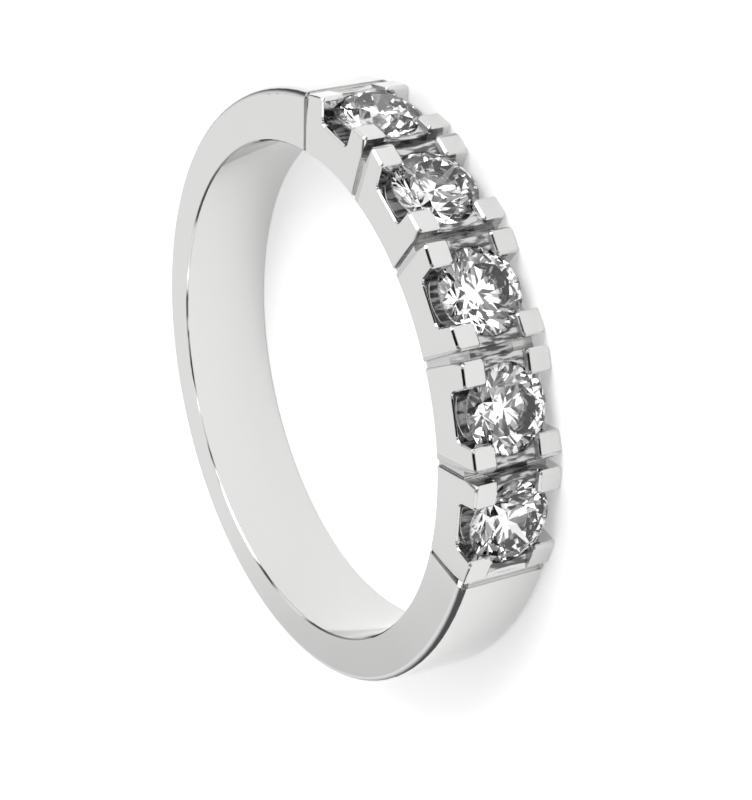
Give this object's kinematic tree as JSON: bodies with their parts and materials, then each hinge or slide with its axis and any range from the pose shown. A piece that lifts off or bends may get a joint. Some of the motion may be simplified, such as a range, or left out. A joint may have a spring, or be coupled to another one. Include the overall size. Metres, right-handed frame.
{
  "type": "diamond engagement ring",
  "caption": "Finger ring of polished white gold with a row of round brilliant-cut stones, each held by corner claws in a square box setting.",
  "frame": {"origin": "on the axis of the finger hole, level with the lower side face, on which the ring lies", "axes": "+Z along the finger hole, out of the upper side face; +X towards the middle stone; +Y towards the end of the row where stone_1 is"},
  "size_m": [0.0206, 0.0202, 0.0032],
  "materials": {
    "white_gold": "white gold, polished bright, with soft wear along the edges",
    "diamond": "clear cut stone, flat polished facets"
  },
  "bodies": {
    "root": {"ring_body": "white_gold", "stone_1": "diamond", "stone_2": "diamond", "stone_3": "diamond", "stone_4": "diamond", "stone_5": "diamond"}
  },
  "joints": []
}
